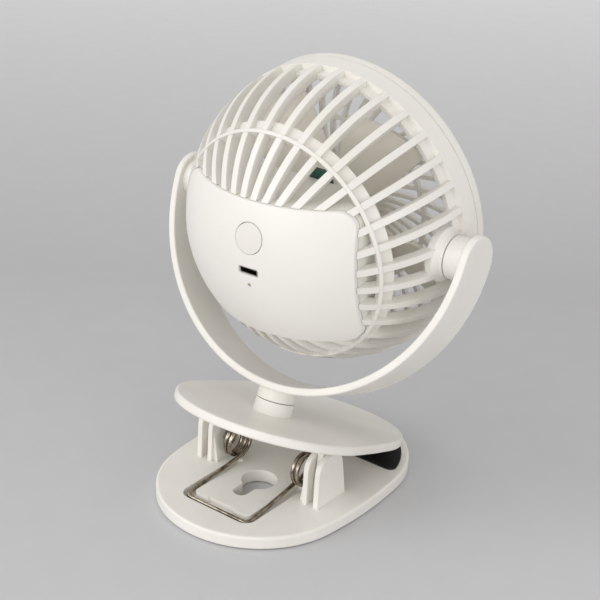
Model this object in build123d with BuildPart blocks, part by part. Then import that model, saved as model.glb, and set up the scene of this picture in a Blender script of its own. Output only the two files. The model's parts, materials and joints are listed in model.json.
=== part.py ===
from build123d import *
from math import acos, asin, atan2, cos, degrees, hypot, radians, sin, sqrt, tan
import os

# Clip fan: a ball-shaped rechargeable fan head, tilting in a yoke that swivels on a sprung clip.
# Millimetres, +Z up, origin on the ground under the middle of the lower jaw.
# The jaws open and the air leaves towards -Y; the button panel and the spring face +Y.
# X runs along the jaw hinge and along the head's tilt pivots.

# ---- lower jaw, which is also the foot ----
base_length = 119.2
base_thickness = 5.4
base_rear_radius = 41.5
base_front_radius = 42.0
base_side_radius = 180.0
base_edge_fillet = 1.1
base_foot_chamfer = 0.6
foot_radius = 5.0
foot_proud = 0.4
foot_seat_depth = 1.2
foot_spacing_x = 50.0
foot_spacing_y = 62.0

# ---- keyhole for hanging on a screw ----
keyhole_y = 17.3
keyhole_head_radius = 7.4
keyhole_neck_radius = 3.3
keyhole_drop = 11.4

# ---- jaw hinge ----
hinge_y = 10.9
jaw_tilt = 20.7
ear_gap_inner_x = 23.8
inner_ear_thickness = 2.2
inner_ear_draft = 2.3
gusset_height = 13.5
gusset_setback = 1.6
gusset_depth = 12.0
lug_thickness = 2.6
lug_side_gap = 0.35
outer_ear_thickness = 2.3
ear_front_reach = 9.8
ear_rear_reach = 8.9
ear_top_front_reach = 5.9
ear_top_rear_reach = 8.4
ear_height = 21.0
ear_corner_radius = 6.6
lug_radius = 5.6
lug_root_half = 8.5
pin_radius = 2.0
pin_head_radius = 3.2
pin_head_thickness = 1.2
pin_blind_wall = 0.8
running_fit = 0.08

# ---- upper jaw ----
jaw_length = 106.9
jaw_thickness = 3.8
jaw_height = 18.5
jaw_rear_overhang = 45.2
jaw_rear_radius = 42.0
jaw_front_radius = 41.0
jaw_side_radius = 240.0
jaw_edge_fillet = 1.0

# ---- grip pads ----
pad_inset = 3.4
pad_thickness = 1.8
pad_proud = 0.9
pad_rear_y = -24.0
pad_corner_radius = 3.0
closed_gap = 0.3

# ---- clip spring: one wire with a coil at each side of the clip ----
wire_diameter = 1.7
coil_radius = 6.1
coil_pitch = 2.2
coil_full_turns = 2
spring_half_width = 16.1
spring_rear_y = 44.0
spring_bend_radius = 3.0
coil_start_x = 14.9
groove_side_gap = 1.05
groove_rear_gap = 1.7
groove_depth = 2.3
groove_front_y = 10.0
groove_floor_gap = 0.15
arm_reach = 14.0
arm_foot = 4.0
arc_samples = 12
tongue_notch_width = 13.0
tongue_notch_depth = 0.8

# ---- post and swivel ----
post_offset = 6.25
post_height = 10.7
post_foot_radius = 8.2
post_top_radius = 7.9
swivel_gap = 0.3
swivel_share = 5.4
stem_radius = 4.0
washer_thickness = 0.8
swivel_washer_radius = 6.5
washer_seat_depth = 1.4
screw_head_radius = 3.0
screw_head_height = 1.7
screw_radius = 1.3
screw_length = 6.0
end_play = 0.1

# ---- yoke ----
yoke_clearance = 7.5
yoke_thickness = 3.1
yoke_width = 21.0
yoke_edge_fillet = 0.7
pivot_boss_radius = 8.5
pivot_stem_radius = 3.5
pivot_washer_radius = 5.6
pivot_gap = 0.4

# ---- head: a half ball with its centre ahead of the tilt axis, then a short ring ----
head_tilt = 9.0
ball_forward = 9.0
cage_radius = 60.4
rib_depth = 4.2
rib_count = 36
rib_thickness = 2.7
recess_depth = 2.2
shell_thickness = 1.9
ring_back = 8.2
ring_front = 16.6
ring_wall = 3.0
ring_proud = 0.2
rim_band_back = 4.0
hoop_back = -29.2
hoop_width = 1.2
hoop_proud = 0.25
web_front = -23.8
rib_tail_radius = 27.0
collar_radius = 10.8
collar_neck_radius = 8.7
collar_recess = 0.2
collar_neck_length = 1.2
collar_cone_length = 2.0
collar_shoulder_length = 2.8

# ---- battery compartment and rear panel ----
panel_width = 81.6
panel_height = 57.2
panel_shift = -1.2
panel_side_bow = 1.7
panel_end_bow = 1.0
panel_corner = 8.0
panel_wall = 1.8
panel_floor_front = -18.0
panel_floor_thickness = 2.0
panel_seat_drop = 1.0
panel_gap = 0.15
panel_proud = 0.6
panel_edge_fillet = 0.5
fittings_x = -3.5
button_up = 14.5
button_radius = 5.8
button_gap = 0.2
button_proud = 0.15
button_travel = 0.5
button_flange = 1.0
button_flange_thickness = 0.8
port_up = 1.5
port_width = 8.3
port_height = 2.7
port_gap = 0.2
port_depth = 5.6
port_wall = 0.35
port_recess = 0.5
lamp_up = -4.4
lamp_radius = 0.75

# ---- inner works ----
cell_radius = 9.2
cell_length = 65.0
cell_gap = 0.3
board_half_width = 17.0
board_top = 24.0
board_bottom = -9.0
board_thickness = 1.6
board_gap = 0.4
board_post_radius = 2.0
board_post_up = 20.0
saddle_thickness = 2.0
switch_size = 6.0
switch_height = 3.0
switch_stem_radius = 1.6
driver_width = 36.0
driver_height = 50.0
driver_tab_x = -13.0
driver_tab_width = 10.0
driver_tab_top = 31.2
board_hole_gap = 0.3
motor_lift = 0.6
standoff_spacing = 32.0
standoff_radius = 3.2
motor_flange_radius = 19.5
motor_flange_thickness = 1.2
motor_radius = 13.0
motor_length = 10.0
motor_boss_radius = 4.5
motor_boss_length = 1.2
motor_screw_head_radius = 2.4
motor_screw_head_height = 1.5
shaft_radius = 1.5

# ---- impeller ----
hub_radius = 16.0
hub_gap = 0.8
hub_length = 13.0
hub_wall = 1.6
hub_dome = 2.5
blade_count = 5
blade_gap = 1.0
blade_depth = 18.0
blade_phase = 48.0
blade_thickness = 1.5
blade_root_pitch = 40.0
blade_tip_pitch = 24.0
blade_root_chord = 17.0
blade_tip_chord = 31.0
blade_corner = 7.0
strip_chord_ratio = 1.5
blade_sweep = 44.0

# ---- front grille ----
seam_gap = 0.2
bezel_depth = 5.8
bezel_round = 2.4
bezel_inner_radius = 54.6
spigot_depth = 3.0
spigot_wall = 1.6
spigot_gap = 0.15
grille_face_drop = 2.6
grille_thickness = 2.2
bar_count = 40
bar_width = 1.5
bar_swirl = 26.0
mid_ring_radius = 35.0
mid_ring_width = 1.6
cap_radius = 14.5
cap_dome = 1.6

# ---- derived places ----
tilt_sin, tilt_cos = sin(radians(jaw_tilt)), cos(radians(jaw_tilt))
jaw_front_reach = jaw_length - jaw_rear_overhang
pad_tip = jaw_front_reach - pad_inset
base_top = foot_proud + base_thickness
jaw_underside = jaw_height - jaw_thickness
pad_face = jaw_underside - pad_proud
# The hinge stands so high that the tip of the upper pad just clears the lower one.
hinge_z = base_top + pad_proud + closed_gap + pad_tip * tilt_sin - pad_face * tilt_cos

base_rear_y = base_length / 2
base_front_y = -base_length / 2
lug_x = ear_gap_inner_x + inner_ear_thickness + lug_side_gap
outer_ear_x = lug_x + lug_thickness + lug_side_gap
wire_radius = wire_diameter / 2
groove_wire_z = base_top - groove_depth + groove_floor_gap + wire_radius

hinge_point = Vector(0, hinge_y, hinge_z)
along = Vector(0, tilt_cos, tilt_sin)
above = Vector(0, -tilt_sin, tilt_cos)
jaw_top = Plane(origin=hinge_point + above * jaw_height, x_dir=(1, 0, 0), z_dir=above)
jaw_side = Plane(origin=hinge_point, x_dir=along, z_dir=(1, 0, 0))

yoke_inner_radius = cage_radius + yoke_clearance
yoke_radius = yoke_inner_radius + yoke_thickness
pivot_height = jaw_height + post_height + yoke_radius
pivot_point = hinge_point + along * post_offset + above * pivot_height
yoke_front_view = Plane(origin=pivot_point, x_dir=(1, 0, 0), z_dir=-along)
yoke_side_view = Plane(origin=pivot_point, x_dir=along, z_dir=(1, 0, 0))

forward = Vector(0, -cos(radians(head_tilt)), sin(radians(head_tilt)))
upward = Vector(0, sin(radians(head_tilt)), cos(radians(head_tilt)))
head = Plane(origin=pivot_point, x_dir=(1, 0, 0), z_dir=forward)
head_section = Plane(origin=pivot_point, x_dir=(1, 0, 0), z_dir=-upward)
head_axis = Axis(pivot_point, forward)

rib_inner_radius = cage_radius - rib_depth
collar_end_x = cage_radius - collar_recess
collar_neck_x = collar_end_x - collar_neck_length
collar_shoulder_x = collar_neck_x - collar_cone_length
collar_inner_x = collar_shoulder_x - collar_shoulder_length
ring_radius = cage_radius + ring_proud
recess_radius = cage_radius - recess_depth
panel_seat_radius = cage_radius - panel_seat_drop
panel_outer_radius = cage_radius + panel_proud
panel_floor_back = panel_floor_front - panel_floor_thickness
cell_forward = panel_floor_back - cell_gap - cell_radius
cell_centre = pivot_point + forward * cell_forward
board_front = cell_forward - cell_radius - board_gap
board_back = board_front - board_thickness
driver_front = panel_floor_front + board_thickness
motor_seat = driver_front + motor_lift
motor_back = motor_seat + motor_flange_thickness
motor_front = motor_back + motor_length
hub_back = motor_front + motor_boss_length + hub_gap
hub_front = hub_back + hub_length
pivot_screw_end = collar_inner_x - end_play - washer_thickness - screw_head_height
blade_tip_radius = pivot_screw_end - blade_gap
seam_front = ring_front + seam_gap
bezel_front = seam_front + bezel_depth
grille_face = bezel_front - grille_face_drop


def finish(builder, name):
    """Label the finished piece and write it as its own file."""
    builder.part.label = name
    export_step(builder.part, f"parts/{name}.step")


def oval_face(rear_y, front_y, rear_radius, front_radius, side_radius, inset=0.0):
    """Oval of four tangent arcs: two round ends and two long bowed sides."""
    rear_radius -= inset
    front_radius -= inset
    side_radius -= inset
    rear_y -= inset
    front_y += inset
    rear_centre = rear_y - rear_radius
    front_centre = front_y + front_radius
    rear_reach = side_radius - rear_radius
    front_reach = side_radius - front_radius
    span = rear_centre - front_centre
    drop = (rear_reach**2 - front_reach**2 + span**2) / (2 * span)
    side_centre_x = sqrt(rear_reach**2 - drop**2)
    side_centre_y = rear_centre - drop
    widest = side_radius - side_centre_x

    def tangent_point(end_centre):
        away = Vector(side_centre_x, end_centre - side_centre_y).normalized() * side_radius
        return away.X - side_centre_x, away.Y + side_centre_y

    rear_x, rear_tangent_y = tangent_point(rear_centre)
    front_x, front_tangent_y = tangent_point(front_centre)
    with BuildSketch() as face:
        with BuildLine():
            ThreePointArc((front_x, front_tangent_y), (widest, side_centre_y), (rear_x, rear_tangent_y))
            ThreePointArc((rear_x, rear_tangent_y), (0, rear_y), (-rear_x, rear_tangent_y))
            ThreePointArc((-rear_x, rear_tangent_y), (-widest, side_centre_y), (-front_x, front_tangent_y))
            ThreePointArc((-front_x, front_tangent_y), (0, front_y), (front_x, front_tangent_y))
        make_face()
    return face.sketch


def base_outline(inset=0.0):
    """Outline of the lower jaw, moved inwards by the inset."""
    return oval_face(
        base_rear_y, base_front_y, base_rear_radius, base_front_radius, base_side_radius, inset
    )


def jaw_outline(inset=0.0):
    """Outline of the upper jaw in its own plane, whose origin is over the hinge."""
    return oval_face(
        jaw_rear_overhang, -jaw_front_reach, jaw_rear_radius, jaw_front_radius, jaw_side_radius, inset
    )


def pad_sketch(outline, rear_edge):
    """Front part of an inset outline, cut straight at the rear with two rounded corners."""
    with BuildSketch() as face:
        add(outline)
        with Locations((0, rear_edge)):
            Rectangle(base_length, base_length, align=(Align.CENTER, Align.MAX), mode=Mode.INTERSECT)
        fillet(face.vertices().group_by(Axis.Y)[-1], pad_corner_radius)
    return face.sketch


def ear_face():
    """Side view of an ear: a slab that narrows upwards to a rounded top."""
    foot_z = base_top - base_edge_fillet
    top_z = base_top + ear_height
    with BuildSketch() as face:
        with BuildLine():
            Polyline(
                (hinge_y - ear_front_reach, foot_z),
                (hinge_y + ear_rear_reach, foot_z),
                (hinge_y + ear_top_rear_reach, top_z),
                (hinge_y - ear_top_front_reach, top_z),
                close=True,
            )
        make_face()
        fillet(face.vertices().group_by(Axis.Y)[-1], ear_corner_radius)
    return face.sketch


def groove_face():
    """Channel for the spring's loop, around a tongue that carries the keyhole."""
    outer_half = spring_half_width + wire_radius + groove_side_gap
    inner_half = spring_half_width - wire_radius - groove_side_gap
    outer_rear = spring_rear_y + wire_radius + groove_rear_gap
    inner_rear = spring_rear_y - wire_radius - groove_rear_gap
    with BuildSketch() as face:
        with Locations((0, outer_rear)):
            Rectangle(2 * outer_half, outer_rear - groove_front_y, align=(Align.CENTER, Align.MAX))
        fillet(face.vertices().group_by(Axis.Y)[-1], spring_bend_radius + wire_radius + groove_side_gap)
        with BuildSketch(mode=Mode.PRIVATE) as tongue:
            with Locations((0, inner_rear)):
                Rectangle(2 * inner_half, inner_rear - groove_front_y, align=(Align.CENTER, Align.MAX))
            fillet(tongue.vertices().group_by(Axis.Y)[-1], spring_bend_radius - wire_radius)
            with Locations((0, inner_rear)):
                Rectangle(tongue_notch_width, 2 * tongue_notch_depth, mode=Mode.SUBTRACT)
        add(tongue.sketch, mode=Mode.SUBTRACT)
    return face.sketch


def keyhole_face():
    """Round hole for a screw's head with a narrow slot towards the rear."""
    with BuildSketch() as face:
        with Locations((0, keyhole_y)):
            Circle(keyhole_head_radius)
        with Locations((0, keyhole_y + keyhole_drop)):
            Circle(keyhole_neck_radius)
        with Locations((0, keyhole_y + keyhole_drop / 2)):
            Rectangle(2 * keyhole_neck_radius, keyhole_drop)
    return face.sketch


def inner_ear_solid(ear):
    """Inner ear with a tapering gusset on the face towards the coil."""
    foot_x = ear_gap_inner_x - inner_ear_draft
    foot_z = base_top - base_edge_fillet
    gusset_top = base_top + gusset_height
    gusset_root_x = ear_gap_inner_x + inner_ear_thickness / 2
    with BuildPart() as inner_ear:
        with BuildSketch(Plane.YZ.offset(ear_gap_inner_x)):
            add(ear)
        extrude(amount=inner_ear_thickness)
        with BuildSketch(Plane.XZ.offset(gusset_setback - hinge_y - ear_rear_reach)):
            with BuildLine():
                Polyline(
                    (foot_x, foot_z),
                    (gusset_root_x, foot_z),
                    (gusset_root_x, gusset_top),
                    (ear_gap_inner_x, gusset_top),
                    close=True,
                )
            make_face()
        extrude(amount=gusset_depth)
    return inner_ear.part


def make_base_plate():
    ground = Plane.XY.offset(foot_proud)
    outline = base_outline()
    groove = groove_face()
    keyhole = keyhole_face()
    ear = ear_face()
    inner_ear = inner_ear_solid(ear)
    pad_seat = pad_sketch(base_outline(pad_inset), pad_rear_y)
    pin_reach = outer_ear_x + outer_ear_thickness - pin_blind_wall
    with BuildPart() as base_plate:
        with BuildSketch(ground):
            add(outline)
        extrude(amount=base_thickness)
        fillet(base_plate.edges().group_by(Axis.Z)[-1], base_edge_fillet)
        chamfer(base_plate.edges().group_by(Axis.Z)[0], base_foot_chamfer)
        with BuildSketch(Plane.XY.offset(base_top)):
            add(groove)
        extrude(amount=-groove_depth, mode=Mode.SUBTRACT)
        with BuildSketch(ground):
            add(keyhole)
        extrude(amount=base_thickness, mode=Mode.SUBTRACT)
        with BuildSketch(Plane.XY.offset(base_top)):
            add(pad_seat)
        extrude(amount=pad_proud - pad_thickness, mode=Mode.SUBTRACT)
        with BuildSketch(ground):
            with GridLocations(foot_spacing_x, foot_spacing_y, 2, 2):
                Circle(foot_radius)
        extrude(amount=foot_seat_depth, mode=Mode.SUBTRACT)
        add(inner_ear)
        with BuildSketch(Plane.YZ.offset(outer_ear_x)):
            add(ear)
        extrude(amount=outer_ear_thickness)
        mirror(about=Plane.YZ)
        with BuildSketch(Plane.YZ.offset(-pin_reach)):
            with Locations((hinge_y, hinge_z)):
                Circle(pin_radius)
        extrude(amount=2 * pin_reach, mode=Mode.SUBTRACT)
    finish(base_plate, "base_plate")


def make_base_grip_pad():
    pad = pad_sketch(base_outline(pad_inset), pad_rear_y)
    with BuildPart() as base_grip_pad:
        with BuildSketch(Plane.XY.offset(base_top + pad_proud - pad_thickness)):
            add(pad)
        extrude(amount=pad_thickness)
        fillet(base_grip_pad.edges().group_by(Axis.Z)[-1], pad_proud / 3)
    finish(base_grip_pad, "base_grip_pad")


def make_rubber_feet():
    with BuildPart() as rubber_feet:
        with BuildSketch():
            with GridLocations(foot_spacing_x, foot_spacing_y, 2, 2):
                Circle(foot_radius)
        extrude(amount=foot_proud + foot_seat_depth)
        chamfer(rubber_feet.edges().group_by(Axis.Z)[0], foot_proud / 2)
    finish(rubber_feet, "rubber_feet")


def make_hinge_pin(side, name):
    """Headed pin through the inner ear and the lug into the blind hole of the outer ear."""
    head_x = ear_gap_inner_x - inner_ear_draft - end_play - pin_head_thickness
    end_x = outer_ear_x + outer_ear_thickness - pin_blind_wall
    outwards = Plane(origin=(side * head_x, hinge_y, hinge_z), x_dir=(0, 1, 0), z_dir=(side, 0, 0))
    with BuildPart() as hinge_pin:
        with BuildSketch(outwards):
            Circle(pin_head_radius)
        extrude(amount=pin_head_thickness)
        with BuildSketch(outwards):
            Circle(pin_radius)
        extrude(amount=end_x - head_x)
        chamfer(hinge_pin.edges().group_by(Axis.X)[0 if side > 0 else -1], pin_head_thickness / 4)
    finish(hinge_pin, name)


def make_upper_jaw():
    outline = jaw_outline()
    pad_seat = pad_sketch(jaw_outline(pad_inset), upper_pad_rear())
    post_length = swivel_share
    with BuildPart() as upper_jaw:
        with BuildSketch(jaw_top):
            add(outline)
        extrude(amount=-jaw_thickness)
        fillet(upper_jaw.edges().group_by(Axis((0, 0, 0), above))[-1], jaw_edge_fillet)
        fillet(upper_jaw.edges().group_by(Axis((0, 0, 0), above))[0], jaw_edge_fillet)
        with BuildSketch(jaw_top.offset(-jaw_thickness)):
            add(pad_seat)
        extrude(amount=pad_thickness - pad_proud, mode=Mode.SUBTRACT)
        with BuildSketch(jaw_top.offset(-jaw_thickness / 2)):
            with Locations((0, post_offset)):
                Circle(post_foot_radius)
        with BuildSketch(jaw_top.offset(post_length)):
            with Locations((0, post_offset)):
                Circle(post_top_radius)
        loft()
        with BuildSketch(jaw_side.offset(lug_x)):
            with BuildLine():
                root = jaw_underside + jaw_edge_fillet
                reach = hypot(lug_root_half, root)
                swing = atan2(root, lug_root_half) - asin(lug_radius / reach)
                touch = (lug_radius * sin(swing), -lug_radius * cos(swing))
                Line((-lug_root_half, root), (lug_root_half, root))
                Line((lug_root_half, root), touch)
                ThreePointArc(touch, (0, -lug_radius), (-touch[0], touch[1]))
                Line((-touch[0], touch[1]), (-lug_root_half, root))
            make_face()
            Circle(pin_radius + running_fit, mode=Mode.SUBTRACT)
        extrude(amount=lug_thickness)
        mirror(about=Plane.YZ)
        with BuildSketch(jaw_top.offset(post_length)):
            with Locations((0, post_offset)):
                Circle(stem_radius + running_fit)
        extrude(amount=-jaw_thickness - post_length, mode=Mode.SUBTRACT)
        with BuildSketch(jaw_top.offset(-jaw_thickness)):
            with Locations((0, post_offset)):
                Circle(swivel_washer_radius + swivel_gap)
        extrude(amount=washer_seat_depth, mode=Mode.SUBTRACT)
    finish(upper_jaw, "upper_jaw")


def upper_pad_rear():
    """Rear edge of the upper pad, over the rear edge of the lower one."""
    return (pad_rear_y - hinge_y + pad_face * tilt_sin) / tilt_cos


def make_upper_grip_pad():
    pad = pad_sketch(jaw_outline(pad_inset), upper_pad_rear())
    with BuildPart() as upper_grip_pad:
        with BuildSketch(jaw_top.offset(-jaw_thickness - pad_proud)):
            add(pad)
        extrude(amount=pad_thickness)
        fillet(upper_grip_pad.edges().group_by(Axis((0, 0, 0), above))[0], pad_proud / 3)
    finish(upper_grip_pad, "upper_grip_pad")


# ---- the clip spring's path, as points and tangents on the +X side ----
def arc_between(start, corner, end):
    """Middle point of the arc that touches start-corner and corner-end, which are equally long."""
    leg = (corner - start).length
    bend = radians((corner - start).get_angle(end - corner))
    towards = ((start + end) * 0.5 - corner).normalized()
    return corner + towards * (leg / sin(bend / 2) - leg / tan(bend / 2))


def biarc(start, start_way, end, end_way):
    """Two arcs that leave start along start_way and reach end along end_way."""
    gap = end - start
    ways = start_way + end_way
    a = 4 - ways.dot(ways)
    b = gap.dot(ways)
    reach = (sqrt(b * b + a * gap.dot(gap)) - b) / a
    first_corner = start + start_way * reach
    second_corner = end - end_way * reach
    joint = (first_corner + second_corner) * 0.5
    return [
        (start, arc_between(start, first_corner, joint), joint),
        (joint, arc_between(joint, second_corner, end), end),
    ]


def coil_point(angle, x):
    """Point on the coil: angle 0 is the lowest point and it grows towards the front (-Y)."""
    return Vector(x, hinge_y - coil_radius * sin(angle), hinge_z - coil_radius * cos(angle))


def coil_way(angle, climb):
    """Direction of the wire on the coil at that angle, with its sideways climb per radian."""
    return Vector(climb, -coil_radius * cos(angle), coil_radius * sin(angle)).normalized()


def spring_side():
    """Pieces of one side: half the rear bar, the bend, the leg, the coil, the arm and its foot."""
    bend = spring_bend_radius
    climb = coil_pitch / radians(360)
    # The leg is the line from the loop's rear corner that touches the lower rear of the coil.
    corner = Vector(spring_half_width, spring_rear_y, groove_wire_z)
    rear_reach = spring_rear_y - hinge_y
    depth = hinge_z - groove_wire_z
    distance = hypot(rear_reach, depth)
    start_angle = atan2(depth, rear_reach) - asin(coil_radius / distance)
    # The arm touches the coil at its top and runs up to the underside of the upper jaw.
    arm_height = jaw_underside - wire_radius - groove_floor_gap
    arm_distance = hypot(arm_reach, arm_height)
    arm_angle = atan2(arm_height, arm_reach) - asin(coil_radius / arm_distance)
    end_angle = radians(180 - jaw_tilt) - arm_angle
    total = end_angle - start_angle + radians(360) * coil_full_turns
    steps = 2 * coil_full_turns + 2
    bend_start = corner - Vector(bend, 0, 0)
    pieces = [("line", Vector(0, spring_rear_y, groove_wire_z), bend_start)]
    first = coil_point(start_angle, coil_start_x)
    way = (first - corner).normalized()
    groove_end = corner + way * bend
    pieces.append(("arc", bend_start, arc_between(bend_start, corner, groove_end), groove_end))
    pieces.append(("line", groove_end, first))
    previous, previous_way = first, way
    for k in range(1, steps + 1):
        swept = total * k / steps
        angle = start_angle + swept
        point = coil_point(angle, coil_start_x + climb * swept)
        point_way = coil_way(angle, climb if k < steps else 0)
        for piece in biarc(previous, previous_way, point, point_way):
            pieces.append(("arc",) + piece)
        previous, previous_way = point, point_way
    tip_corner = previous + previous_way * (sqrt(arm_distance**2 - coil_radius**2) - bend)
    tip_way = along
    tip_end = tip_corner + tip_way * bend
    tip_start = tip_corner - previous_way * bend
    pieces.append(("line", previous, tip_start))
    pieces.append(("arc", tip_start, arc_between(tip_start, tip_corner, tip_end), tip_end))
    pieces.append(("line", tip_end, tip_end + tip_way * arm_foot))
    return pieces


def spring_clearance(pieces):
    """Least free space between two turns of one coil, measured on points along the path."""
    arcs = [Edge.make_three_point_arc(*piece[1:]) for piece in pieces if piece[0] == "arc"][1:-1]
    points = [arc @ (k / arc_samples) for arc in arcs for k in range(arc_samples)]
    half_turn = len(points) // (2 * coil_full_turns + 2)
    least = min(
        (a - b).length
        for i, a in enumerate(points)
        for b in points[i + half_turn:]
    )
    return least - wire_diameter


def make_clip_spring():
    side = spring_side()
    print(f"clip spring: least gap between its turns {spring_clearance(side):.2f} mm")

    def mirrored(point):
        return Vector(-point.X, point.Y, point.Z)

    other = [(piece[0],) + tuple(mirrored(p) for p in reversed(piece[1:])) for piece in reversed(side)]
    with BuildPart() as clip_spring:
        with BuildLine() as path:
            for kind, *points in other + side:
                if kind == "line":
                    Line(*points)
                else:
                    ThreePointArc(*points)
        start = path.wires()[0] @ 0
        heading = path.wires()[0] % 0
        with BuildSketch(Plane(origin=start, z_dir=heading)):
            Circle(wire_radius)
        sweep(path=path.wires()[0])
    finish(clip_spring, "clip_spring")


def make_yoke():
    collar_base = swivel_share + swivel_gap
    top_inside = post_height + yoke_thickness / 3
    stem_end = jaw_thickness - washer_seat_depth + end_play
    with BuildPart() as yoke:
        with BuildSketch(yoke_front_view):
            with BuildLine():
                CenterArc((0, 0), yoke_radius, 180, 180)
                Line((yoke_radius, 0), (yoke_radius, yoke_width / 2))
                Line((yoke_radius, yoke_width / 2), (yoke_inner_radius, yoke_width / 2))
                Line((yoke_inner_radius, yoke_width / 2), (yoke_inner_radius, 0))
                CenterArc((0, 0), yoke_inner_radius, 180, 180)
                Line((-yoke_inner_radius, 0), (-yoke_inner_radius, yoke_width / 2))
                Line((-yoke_inner_radius, yoke_width / 2), (-yoke_radius, yoke_width / 2))
                Line((-yoke_radius, yoke_width / 2), (-yoke_radius, 0))
            make_face()
        extrude(amount=yoke_width / 2, both=True)
        with BuildSketch(yoke_side_view):
            Circle(yoke_width / 2)
            with Locations((0, -yoke_radius)):
                Rectangle(yoke_width, 2 * yoke_radius)
        extrude(amount=yoke_radius, both=True, mode=Mode.INTERSECT)
        fillet(yoke.edges().filter_by(GeomType.CIRCLE), yoke_edge_fillet)
        with BuildSketch(jaw_top.offset(collar_base)):
            with Locations((0, post_offset)):
                Circle(post_top_radius)
        extrude(amount=top_inside - collar_base)
        with BuildSketch(jaw_top.offset(collar_base)):
            with Locations((0, post_offset)):
                Circle(stem_radius)
        extrude(amount=-collar_base - stem_end)
        with BuildSketch(jaw_top.offset(-stem_end)):
            with Locations((0, post_offset)):
                Circle(screw_radius)
        extrude(amount=screw_length, mode=Mode.SUBTRACT)
        for side in (1, -1):
            arm = pivot_plane(side, yoke_inner_radius + yoke_thickness / 3)
            with BuildSketch(arm):
                Circle(pivot_boss_radius)
            extrude(amount=-(yoke_inner_radius + yoke_thickness / 3 - collar_end_x - pivot_gap))
            with BuildSketch(arm):
                Circle(pivot_stem_radius)
            extrude(amount=-(yoke_inner_radius + yoke_thickness / 3 - collar_inner_x + end_play))
            with BuildSketch(pivot_plane(side, collar_inner_x - end_play)):
                Circle(screw_radius)
            extrude(amount=screw_length, mode=Mode.SUBTRACT)
    finish(yoke, "yoke")


def pivot_plane(side, reach):
    """Plane across the tilt axis at that distance, facing outwards on the given side."""
    return Plane(origin=pivot_point + Vector(side * reach, 0, 0), x_dir=(0, 1, 0), z_dir=(side, 0, 0))


def screw_profile(builder_plane, head_radius, head_height, shank):
    """Pan-head screw: the head stands above the plane and the shank goes below it."""
    with BuildPart() as screw:
        with BuildSketch(builder_plane):
            Circle(head_radius)
        extrude(amount=head_height)
        rims = screw.edges().sort_by(Axis(builder_plane.origin, builder_plane.z_dir))
        chamfer(rims[-1], head_height / 3)
        with BuildSketch(builder_plane):
            Circle(screw_radius)
        extrude(amount=-shank)
    return screw.part


def make_swivel_washer():
    below = jaw_top.offset(-jaw_thickness + washer_seat_depth - end_play)
    with BuildPart() as swivel_washer:
        with BuildSketch(below):
            with Locations((0, post_offset)):
                Circle(swivel_washer_radius)
                Circle(screw_radius, mode=Mode.SUBTRACT)
        extrude(amount=-washer_thickness)
    finish(swivel_washer, "swivel_washer")


def make_swivel_screw():
    drop = jaw_thickness - washer_seat_depth + end_play + washer_thickness
    seat = Plane(
        origin=hinge_point + along * post_offset + above * (jaw_height - drop),
        x_dir=(1, 0, 0),
        z_dir=-above,
    )
    shape = screw_profile(seat, screw_head_radius, screw_head_height, screw_length)
    with BuildPart() as swivel_screw:
        add(shape)
    finish(swivel_screw, "swivel_screw")


def make_pivot_washers():
    with BuildPart() as pivot_washers:
        for side in (1, -1):
            with BuildSketch(pivot_plane(side, collar_inner_x - end_play)):
                Circle(pivot_washer_radius)
                Circle(screw_radius, mode=Mode.SUBTRACT)
            extrude(amount=-washer_thickness)
    finish(pivot_washers, "pivot_washers")


def make_pivot_screws():
    reach = collar_inner_x - end_play - washer_thickness
    shapes = []
    for side in (1, -1):
        seat = Plane(origin=pivot_point + Vector(side * reach, 0, 0), x_dir=(0, 1, 0), z_dir=(-side, 0, 0))
        shapes.append(screw_profile(seat, screw_head_radius, screw_head_height, screw_length))
    with BuildPart() as pivot_screws:
        add(shapes)
    finish(pivot_screws, "pivot_screws")


def ball_angle(w, radius=cage_radius):
    """Angle at the ball's centre from straight back to the point of the ball at w."""
    return acos((ball_forward - w) / radius)


def ball_point(radius, angle):
    """Point of the section at that distance and angle from the ball's centre."""
    return radius * sin(angle), ball_forward - radius * cos(angle)


def ball_band(inner, outer, back_angle, front_angle):
    """Section of a band of the ball between two radii and two angles."""
    middle = (back_angle + front_angle) / 2
    with BuildSketch() as face:
        with BuildLine():
            rear, centre, front = (ball_point(outer, a) for a in (back_angle, middle, front_angle))
            inner_rear, inner_centre, inner_front = (
                ball_point(inner, a) for a in (back_angle, middle, front_angle)
            )
            ThreePointArc(rear, centre, front)
            Line(front, inner_front)
            ThreePointArc(inner_front, inner_centre, inner_rear)
            Line(inner_rear, rear)
        make_face()
    return face.sketch


def around_head(angle):
    """Section plane through the head's axis, turned by an angle: its x is outwards, its y is forward."""
    outwards = Vector(1, 0, 0) * cos(radians(angle)) + upward * sin(radians(angle))
    return Plane(origin=pivot_point, x_dir=outwards, z_dir=outwards.cross(forward))


def across_head(w, angle):
    """Plane across the head's axis at w, turned by an angle."""
    outwards = Vector(1, 0, 0) * cos(radians(angle)) + upward * sin(radians(angle))
    return Plane(origin=pivot_point + forward * w, x_dir=outwards, z_dir=forward)


def ball(radius):
    """The full ball of that radius; its poles lie on the tilt axis and its seam at the front."""
    with BuildPart() as sphere:
        with BuildSketch(head_section):
            with BuildLine():
                CenterArc((0, ball_forward), radius, 0, 180)
                Line((-radius, ball_forward), (radius, ball_forward))
            make_face()
        revolve(axis=Axis(pivot_point + forward * ball_forward, (1, 0, 0)))
    return sphere.part


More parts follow.
